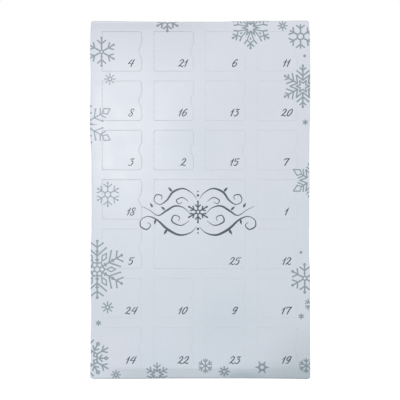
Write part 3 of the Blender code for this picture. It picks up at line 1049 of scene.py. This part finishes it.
def print_inks():
    """Every printed shape, with its ink. Later inks print over earlier ones."""
    flakes = []
    for pattern, x, z in PRINTED_FLAKES:
        flakes += flake(FLAKES[pattern], x, z)
    numbers = scroll_shapes()
    for number, window in WINDOWS.items():
        level = window.z - window.height / 2 + NUMBER_UP
        level += NUMBER_DRIFT * (level - HEIGHT / 2)
        numbers += number_shapes(number, window.x + window.width / 2 - NUMBER_IN, level)
    return [(FLAKE, flakes), (NUMBER, numbers)]


# Geometry Nodes
def start_tree(name, inputs):
    """A Geometry Nodes tree with named inputs, and the sockets that give them."""
    tree = bpy.data.node_groups.new(name, "GeometryNodeTree")
    for title, kind in inputs.items():
        tree.interface.new_socket(title, in_out="INPUT", socket_type="NodeSocket" + kind)
    tree.interface.new_socket("Geometry", in_out="OUTPUT", socket_type="NodeSocketGeometry")
    return tree, node(tree, "NodeGroupInput").outputs


def end_tree(tree, points, shape, material):
    """Ends a tree with a copy of the shape at each point, real and of its material."""
    copies = node(tree, "GeometryNodeInstanceOnPoints", {"Points": points, "Instance": shape})
    real = node(tree, "GeometryNodeRealizeInstances", {"Geometry": copies})
    done = node(tree, "GeometryNodeSetMaterial", {"Geometry": real, "Material": material})
    node(tree, "NodeGroupOutput", {"Geometry": done})
    return tree


def grow(name, tree, values):
    """Runs a Geometry Nodes tree with its inputs set, and returns the plain mesh."""
    holder = put_in_scene(name, bpy.data.meshes.new(name))
    modifier = holder.modifiers.new(tree.name, "NODES")
    modifier.node_group = tree
    for socket in tree.interface.items_tree:
        if socket.in_out == "INPUT" and socket.name in values:
            modifier[socket.identifier] = values[socket.name]
    graph = bpy.context.evaluated_depsgraph_get()
    mesh = bpy.data.meshes.new_from_object(holder.evaluated_get(graph), depsgraph=graph)
    bpy.data.objects.remove(holder)
    mesh.name = name
    return mesh


# The perforated creases
SCORE_DEPTH, SCORE_SHARE = 0.05, 0.4  # the score's share of the bridge to each side


def crease_tree():
    """Geometry Nodes: bridges of board at even steps up a cut."""
    tree, given = start_tree("perforated_crease", {
        "Bridges": "Int", "Pitch": "Float", "Size": "Vector", "Score Depth": "Float",
        "Board": "Material"})
    step = node(tree, "ShaderNodeCombineXYZ", {"Z": given["Pitch"]})
    places = node(tree, "GeometryNodeMeshLine", {"Count": given["Bridges"], "Offset": step})
    bridge = node(tree, "GeometryNodeMeshCube", {
        "Size": given["Size"], "Vertices X": 7, "Vertices Y": 2, "Vertices Z": 3})
    # The score line: a shallow groove down the middle of each bridge's front
    where = node(tree, "GeometryNodeInputPosition")
    shares = node(tree, "ShaderNodeVectorMath", {0: where, 1: given["Size"]}, operation="DIVIDE")
    across = node(tree, "ShaderNodeSeparateXYZ", {0: shares}).outputs
    away = node(tree, "ShaderNodeMath", {0: across["X"]}, operation="ABSOLUTE")
    groove = node(tree, "ShaderNodeMapRange", {
        "Value": away, "From Min": 0.0, "From Max": SCORE_SHARE,
        "To Min": given["Score Depth"], "To Max": 0.0})
    in_front = node(tree, "ShaderNodeMath", {0: across["Y"], 1: 0.0}, operation="LESS_THAN")
    depth = node(tree, "ShaderNodeMath", {0: groove, 1: in_front}, operation="MULTIPLY")
    inward = node(tree, "ShaderNodeCombineXYZ", {"Y": depth})
    scored = node(tree, "GeometryNodeSetPosition", {"Geometry": bridge, "Offset": inward})
    return end_tree(tree, places, scored, given["Board"])


def crease(number, tree):
    """The bridges that hold one door, as one piece, and where their held and free sides lie."""
    window = WINDOWS[number]
    levels = bridge_levels(window)
    held, free = creased_edge(window), window.x - window.width / 2 + door_inset(window)
    size = (free - held + 2 * BRIDGE_HOLD, BOARD - 2 * BRIDGE_RECESS, BRIDGE_LENGTH)
    name = f"crease_{number:02d}"
    mesh = grow(name, tree, {
        "Bridges": len(levels), "Pitch": BRIDGE_PITCH * MM, "Size": [v * MM for v in size],
        "Score Depth": SCORE_DEPTH * MM, "Board": PALE_ICE,
    })
    low = ((held + free) / 2, FRONT_Y + BOARD / 2, levels[0])
    places = np.array([v.co for v in mesh.vertices]) / MM + low
    mesh.vertices.foreach_set("co", (settle(places) * MM).ravel())
    mesh.update()
    return put_in_scene(name, mesh), held, free


# The formed tray
# Gold-lacquered PET, vacuum formed, which thins and dulls a little where it stretches into
# the pockets: drawn mirror-like, its colour and gloss a little uneven all over, with faint flow
# ripples
GOLD_SHEET = skin("pet_vacuum_formed_gold", "#cba257", [(22, 0.93, 1.05)], (6, 0.2, 0.3),
                  (5, 1, 0.3, 0.05), {"Metallic": 0.85})
TRAY_SHEET = 0.3
FLANGE_Y, POCKET_FLOOR_Y = -6.5, 6.2
LEDGE, POCKET_CORNER, SMALLEST_CORNER, DRAFT = 4.0, 6.0, 0.5, math.tan(math.radians(8))
MOUTH_ROUND, FLOOR_ROUND = 1.0, 1.8
TRAY_HALF_WIDTH, TRAY_LOW, TRAY_HIGH = 109.1, 1.7, 358.3
SKIRT_DEPTH, TRAY_CORNER = 4.0, 2.5
POCKET_STEPS = 6
POCKET_CORE = (3.0, 6.0)  # rings on the floor, in from its edge
TRAY_ROUND = 1.0  # round the flange's outer edge
TRAY_SHARP = 40  # degrees


def quarter_round(radius, steps):
    """Places on a quarter turn: each back from its end, and on from its start."""
    turns = (RIGHT_ANGLE * i / steps for i in range(steps + 1))
    return [(radius * (1 - math.sin(a)), radius * (1 - math.cos(a))) for a in turns]


def joined(rings):
    """The faces between rings, each given as the numbers of its vertices."""
    return [
        (upper[j], upper[i], lower[i], lower[j])
        for upper, lower in zip(rings, rings[1:])
        for i in range(len(upper))
        for j in [(i + 1) % len(upper)]
    ]


def in_rings(first, total, count):
    """The numbers of the vertices from the first to the total, ring by ring."""
    return [range(start, start + count) for start in range(first, total, count)]


def rounded(half_w, half_h, radius):
    """A rectangle with round corners, anticlockwise, about its middle."""
    w, h = half_w - radius, half_h - radius
    quarters = ((w, -h, -90), (w, h, 0), (-w, h, 90), (-w, -h, 180))
    return [p for x, z, first in quarters for p in corner(x, z, radius, first, POCKET_STEPS)]


def pocket_profile():
    """Inset from the mouth and depth, from the flange, over the wall, to the floor."""
    foot = (POCKET_FLOOR_Y - FLOOR_ROUND - FLANGE_Y - MOUTH_ROUND) * DRAFT
    mouth = [(-back, FLANGE_Y + on) for back, on in quarter_round(MOUTH_ROUND, 4)]
    floor = [(foot + on, POCKET_FLOOR_Y - back) for back, on in quarter_round(FLOOR_ROUND, 5)]
    return mouth + floor + [(floor[-1][0] + step, POCKET_FLOOR_Y) for step in POCKET_CORE]


def bowl(window):
    """One pocket's surface about its middle, from the flange to the floor's middle."""
    places = []
    for inset, y in pocket_profile():
        ring = rounded(window.width / 2 - LEDGE - inset, window.height / 2 - LEDGE - inset,
                       max(POCKET_CORNER - inset, SMALLEST_CORNER))
        places += [(x, y, z) for x, z in ring]
    rings = in_rings(0, len(places), len(ring))
    return places, joined(rings[::-1]) + [tuple(rings[-1])]


def pocket_tree():
    """Geometry Nodes: a pocket at each step of the grid, but none in the large one."""
    tree, given = start_tree("tray_pockets", {
        "Columns": "Int", "Rows": "Int", "Column Pitch": "Float", "Row Pitch": "Float",
        "Pocket": "Object", "Sheet": "Material"})
    sides = {}
    for side, count, pitch in (("X", "Columns", "Column Pitch"), ("Y", "Rows", "Row Pitch")):
        gaps = node(tree, "ShaderNodeMath", {0: given[count], 1: 1.0}, operation="SUBTRACT")
        sides[f"Size {side}"] = node(tree, "ShaderNodeMath", {0: gaps, 1: given[pitch]},
                                     operation="MULTIPLY")
        sides[f"Vertices {side}"] = given[count]
    grid = node(tree, "GeometryNodeMeshGrid", sides)
    upright = node(tree, "GeometryNodeTransform", {
        "Geometry": grid, "Rotation": (RIGHT_ANGLE, 0, 0)})
    # The large pocket stands for the pockets of the two middle columns in the middle row
    # and the row below it: those within a pitch of its middle, half a row down
    pitches = node(tree, "ShaderNodeCombineXYZ", {
        "X": given["Column Pitch"], "Y": 1.0, "Z": given["Row Pitch"]})
    lifted = node(tree, "ShaderNodeVectorMath", {
        0: pitches, 1: (0, 0, 0.5), 2: node(tree, "GeometryNodeInputPosition")},
        operation="MULTIPLY_ADD")
    away = node(tree, "ShaderNodeVectorMath", {0: lifted}, operation="ABSOLUTE")
    large = node(tree, "FunctionNodeCompare", {"A": away, "B": pitches}, data_type="VECTOR",
                 mode="ELEMENT", operation="LESS_THAN")
    kept = node(tree, "GeometryNodeDeleteGeometry", {"Geometry": upright, "Selection": large},
                domain="POINT")
    shape = node(tree, "GeometryNodeObjectInfo", {"Object": given["Pocket"]})
    return end_tree(tree, kept, shape.outputs["Geometry"], given["Sheet"])


def form_tray():
    """The tray: pockets, the flange between them and a skirt, welded and thickened."""
    small = [w for w in WINDOWS.values() if w.small]
    (large,) = (w for w in WINDOWS.values() if not w.small)
    grid = [sorted({round(place, 2) for place in places}) for places in list(zip(*small))[:2]]
    pitches = [(stops[-1] - stops[0]) / (len(stops) - 1) for stops in grid]
    middle_x, middle_z = ((stops[0] + stops[-1]) / 2 for stops in grid)
    pocket = show("pocket", *bowl(small[0]), (), TRAY_SHARP)
    pockets = grow("tray_pockets", pocket_tree(), {
        "Columns": len(grid[0]), "Rows": len(grid[1]), "Column Pitch": pitches[0] * MM,
        "Row Pitch": pitches[1] * MM, "Pocket": pocket, "Sheet": GOLD_SHEET,
    })
    bpy.data.objects.remove(pocket)
    solid = bmesh.new()
    solid.from_mesh(pockets)
    bmesh.ops.scale(solid, vec=(1 / MM,) * 3, verts=solid.verts)
    bmesh.ops.translate(solid, vec=(middle_x, 0, middle_z), verts=solid.verts)

    def add(points, polygons):
        made = [solid.verts.new(p) for p in points]
        for polygon in polygons:
            solid.faces.new([made[i] for i in polygon])

    places, faces = bowl(large)
    add([(x + large.x, y, z + large.z) for x, y, z in places], faces)
    edge_w, edge_h = TRAY_HALF_WIDTH, (TRAY_HIGH - TRAY_LOW) / 2
    around = even_counts(rounded(edge_w, edge_h, TRAY_CORNER))

    def edge(inset, y):
        ring = spaced(rounded(edge_w - inset, edge_h - inset, TRAY_CORNER - inset), around)
        return [(x, y, z + (TRAY_HIGH + TRAY_LOW) / 2) for x, z in ring]

    skirt = []
    for back, on in quarter_round(TRAY_ROUND, 4) + [(0, SKIRT_DEPTH)]:
        skirt += edge(back, FLANGE_Y + on)
    add(skirt, joined(in_rings(0, len(skirt), sum(around))))
    flange = Sheet()
    outline = [(x, z) for x, _, z in edge(TRAY_ROUND, 0)]
    flange.join(outline)
    mouths = []
    for window in WINDOWS.values():
        half_w, half_h = (size / 2 - LEDGE + MOUTH_ROUND for size in window[2:4])
        ring = rounded(half_w, half_h, POCKET_CORNER + MOUTH_ROUND)
        mouths.append([(x + window.x, z + window.z) for x, z in ring])
        flange.join(mouths[-1])
    flange.dots((-edge_w, TRAY_LOW), (edge_w, TRAY_HIGH), 2 * EVEN)
    flat, triangles, _ = flange.cut(outline, mouths, [])
    add([(x, FLANGE_Y, z) for x, z in flat.tolist()], triangles.tolist())
    bmesh.ops.remove_doubles(solid, verts=solid.verts, dist=TOUCH)
    bmesh.ops.recalc_face_normals(solid, faces=solid.faces)
    front_most = min(solid.faces, key=lambda f: f.calc_center_median().y)
    if front_most.normal.y > 0:
        bmesh.ops.reverse_faces(solid, faces=solid.faces)
    solid.verts.index_update()
    vertices = np.array([v.co for v in solid.verts])
    polygons = [[v.index for v in f.verts] for f in solid.faces]
    solid.free()
    made = show("formed_tray", settle(vertices), polygons, (GOLD_SHEET,), TRAY_SHARP)
    thick = made.modifiers.new("sheet", "SOLIDIFY")
    thick.thickness, thick.offset = TRAY_SHEET * MM, -1
    return made


# The chocolates
# Milk chocolate, moulded and tempered: a soft satin sheen from the mould, with faint
# paler bloom and the smallest pits
MILK_CHOCOLATE = skin(
    "milk_chocolate_moulded", "#5d3420", [(9, 0.88, 1.1, 4)], (5, 0.34, 0.46),
    (1.2, 3, 0.3, 0.04), {"IOR": 1.47, "Subsurface Weight": 0.06, "Subsurface Scale": 1.5 * MM})
FACE_DEPTH = 1.3  # the face lies this far behind the motif's highest point
FACE_INSET = 1.7
BORDER, BORDER_WIDTH = 0.45, 1.3
BORDER_SLOPE, MOTIF_SLOPE, MOTIF_SPREAD = 0.6, 1.3, 0.35
FINE = 0.55
SWEET_CLEARANCE = 0.3  # between a chocolate and its pocket
SWEET_SHARP = 50  # degrees


def mirrored(half):
    return half + [(-x, z) for x, z in half[::-1] if x]


def heart_line(size, steps=48):
    turns = (2 * math.pi * i / steps for i in range(steps))
    return [(size * math.sin(a) ** 3, size * (13 * math.cos(a) - 5 * math.cos(2 * a)
             - 2 * math.cos(3 * a) - math.cos(4 * a)) / 16 + 0.1 * size) for a in turns]


# Each moulded motif, as closed shapes about the middle of its chocolate
MOTIFS = (
    [[(r * math.sin(a), r * math.cos(a)) for i in range(10)
      for r, a in [((10.2, 4.6)[i % 2], math.pi * i / 5)]]],
    [mirrored([(0, 10.6), (4.3, 5.0), (2.7, 5.2), (6.6, -0.6), (4.6, -0.3), (8.8, -6.8),
               (1.7, -6.8), (1.7, -10.0)])],
    [mirrored([(0, 10.2), (1.6, 9.9), (1.6, 8.4), (3.8, 6.6), (4.9, 3.0), (5.4, -1.6),
               (7.9, -5.2), (7.9, -6.8)]), disc(0, -8.2, 2.1, 20)],
    [heart_line(9.4)],
    flake((6, [stem(0, 9.8, 1.7), fork(4.4, 3.0, 7.6, 1.5), bead(9.8, 1.3)]), 0, 0),
    [rectangle(-8, -8.6, -1, 3.2), rectangle(1, -8.6, 8, 3.2),
     leaf(0, 3.6, 35, 8.5, 2.2), leaf(0, 3.6, 145, 8.5, 2.2)],
)
TABLET_BLOCKS = 4  # each way
BLOCK_GROOVE = 1.5


def away_from(outline, points):
    """Signed distance from a closed outline, below zero inside it."""
    a = np.asarray(outline, float)
    run = np.roll(a, -1, axis=0) - a
    offset = points[:, None] - a[None]
    share = np.clip((offset * run).sum(-1) / (run**2).sum(-1), 0, 1)
    gap = np.linalg.norm(offset - share[..., None] * run, axis=-1).min(axis=1)
    return np.where(within(a, points), -gap, gap)


def eased(share):
    share = np.clip(share, 0, 1)
    return share * share * (3 - 2 * share)


def relief(number, points, half):
    """How far the face stands forward: a raised border, and the motif or the blocks."""
    if WINDOWS[number].small:
        inset = (half - np.abs(points)).min(axis=1)
        edge = eased(inset / BORDER_SLOPE) * eased(
            (BORDER_WIDTH + BORDER_SLOPE - inset) / BORDER_SLOPE)
        gap = np.min([away_from(s, points) for s in MOTIFS[number % len(MOTIFS)]], axis=0)
        return np.maximum(BORDER * edge, FACE_DEPTH * eased((MOTIF_SPREAD - gap) / MOTIF_SLOPE))
    size = half * 2 / TABLET_BLOCKS
    gap = (size / 2 - np.abs((points + half) % size - size / 2)).min(axis=1)
    return FACE_DEPTH * eased(gap / BLOCK_GROOVE - 0.25)


def even_steps(half, marks):
    """Places from -half to half about FINE apart, with a line at each mark."""
    stops = sorted({-half, half, *marks})
    steps = []
    for a, b in zip(stops, stops[1:]):
        count = max(1, round((b - a) / FINE))
        steps += [a + (b - a) * i / count for i in range(count)]
    return np.array(steps + [half])


def mould_chocolate(number):
    """One chocolate: its face as a fine grid with round corners, its sides and back."""
    low, high = (np.array(c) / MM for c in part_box(f"chocolate_{number:02d}"))
    middle, half = (low + high) / 2, (high - low)[[0, 2]] / 2 - FACE_INSET
    radius = POCKET_CORNER - SWEET_CLEARANCE - FACE_INSET
    blocks = 1 if WINDOWS[number].small else TABLET_BLOCKS
    shares = [2 * i / blocks - 1 for i in range(1, blocks)]
    xs, zs = (even_steps(reach, [reach * share for share in shares]) for reach in half)
    grid = np.array([(x, z) for z in zs for x in xs])
    core = half - radius
    over = np.maximum(np.abs(grid) - core, 0) / radius
    cornered = (over > 0).all(axis=1)
    a, b = over[cornered].T
    bent = np.column_stack([a * np.sqrt(1 - b * b / 2), b * np.sqrt(1 - a * a / 2)])
    grid[cornered] = np.sign(grid[cornered]) * (core + radius * bent)
    face_y, back = low[1] + FACE_DEPTH, high[1]
    front = np.column_stack([grid[:, 0], face_y - relief(number, grid, half), grid[:, 1]])
    index = np.arange(len(grid)).reshape(len(zs), len(xs))
    quads = np.stack([index[:-1, :-1], index[:-1, 1:], index[1:, 1:], index[1:, :-1]], axis=-1)
    around = np.concatenate([index[0], index[1:, -1], index[-1, -2::-1], index[-2:0:-1, 0]])
    edge = grid[around]
    away = edge - np.clip(edge, -core, core)
    away /= np.linalg.norm(away, axis=1)[:, None]
    depth = back - face_y
    taper = (depth - 1) * DRAFT
    # The sides, as rings of inset and depth behind the face
    profile = ((FACE_INSET - 0.6, 0.22), (0.55, 0.6), (0.15, 1.1), (0, 1.8),
               (taper, depth - 1.3), (taper + 0.3, depth - 0.5), (taper + 0.9, depth - 0.1),
               (taper + 1.6, depth))
    places = [front]
    for inset, behind in profile:
        x, z = (edge + away * (FACE_INSET - inset)).T
        places.append(np.column_stack([x, np.full(len(x), face_y + behind), z]))
    vertices = np.concatenate(places) + [middle[0], 0, middle[2]]
    rings = [around.tolist()] + in_rings(len(grid), len(vertices), len(around))
    faces = quads.reshape(-1, 4).tolist() + joined(rings) + [tuple(rings[-1][::-1])]
    return show(f"moulded_chocolate_{number:02d}", vertices, faces, (MILK_CHOCOLATE,),
                SWEET_SHARP)


# Assembly
inks = print_inks()
carton = cut_carton(inks)
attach(carton, "carton")
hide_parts("carton")

tray = form_tray()
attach(tray, "carton")
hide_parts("tray")

bridge_tree = crease_tree()
for number, window in WINDOWS.items():
    body = f"door_{number:02d}"
    door = cut_door(number, inks)
    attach(door, body)
    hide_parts(body)
    strip, held, free = crease(number, bridge_tree)
    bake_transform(strip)
    sweet = mould_chocolate(number)
    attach(sweet, "carton")
    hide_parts(f"chocolate_{number:02d}")


# Floor, light and camera
AMBIENT = 0.515
LIT_PLACE = Vector((0, 0, 0.2))
FLOOR_GLOW, FLOOR_REACH, FLOOR_LEVEL = 0.75, 6000, -0.2


def seen_directly(tree):
    """One for rays from the camera, a reflection or a clear body, nought for others."""
    rays = node(tree, "ShaderNodeLightPath").outputs
    seen = rays["Is Camera Ray"]
    for name in ("Is Glossy Ray", "Is Transmission Ray"):
        seen = node(tree, "ShaderNodeMath", {0: seen, 1: rays[name]}, operation="MAXIMUM")
    return seen


def lay_floor():
    """A plain pale floor that looks white and keeps a faint contact shadow."""
    material = bpy.data.materials.new("floor_white_card")
    tree = blank_tree(material)
    card = node(tree, "ShaderNodeBsdfDiffuse", {"Color": linear("#e6e6e6")})
    glow = node(tree, "ShaderNodeEmission", {"Strength": FLOOR_GLOW})
    lit = node(tree, "ShaderNodeAddShader", {0: card, 1: glow})
    mixed = node(tree, "ShaderNodeMixShader", {0: seen_directly(tree), 1: card, 2: lit})
    node(tree, "ShaderNodeOutputMaterial", {"Surface": mixed})
    low, high = -FLOOR_REACH, FLOOR_REACH
    corners = [(x, y, FLOOR_LEVEL) for x, y in rectangle(low, low, high, high)]
    floor = show("floor", corners, [(0, 1, 2, 3)], (material,), BOARD_SHARP)


def light_world():
    """White where it is seen directly, and a dimmer even light for all the rest."""
    world = bpy.data.worlds.new("studio")
    bpy.context.scene.world = world
    tree = blank_tree(world)
    room, white = (
        node(tree, "ShaderNodeBackground", {"Color": (1, 1, 1, 1), "Strength": strength})
        for strength in (AMBIENT, 1.0)
    )
    mixed = node(tree, "ShaderNodeMixShader", {0: seen_directly(tree), 1: room, 2: white})
    node(tree, "ShaderNodeOutputWorld", {"Surface": mixed})


def area_light(name, place, width, height, watts):
    light = bpy.data.lights.new(name, "AREA")
    light.shape = "RECTANGLE"
    light.size, light.size_y = width, height
    light.energy = watts
    lamp = put_in_scene(name, light)
    lamp.location = place
    lamp.rotation_mode = "QUATERNION"
    lamp.rotation_quaternion = (LIT_PLACE - Vector(place)).to_track_quat("-Z", "Y")


lay_floor()
light_world()
area_light("key", (-0.55, -3.0, 2.0), 0.7, 0.7, 49.0)
area_light("glow", (-0.24, -2.0, 0.34), 0.25, 0.35, 2.3)

LENS, SENSOR = 100.0, 36.0
VIEW_WIDTH = 401.3  # millimetres across the picture at the carton's front
VIEW_X, VIEW_Z = -0.25, 179.9  # the middle of the picture
lens = bpy.data.cameras.new("camera")
lens.lens, lens.sensor_width = LENS, SENSOR
lens.clip_start, lens.clip_end = 0.01, 20
camera = put_in_scene("camera", lens)
camera.location = (VIEW_X * MM, (FRONT_Y - VIEW_WIDTH * LENS / SENSOR) * MM, VIEW_Z * MM)
camera.rotation_euler = (RIGHT_ANGLE, 0, 0)
bpy.context.scene.camera = camera
bpy.context.scene.view_settings.view_transform = "Standard"
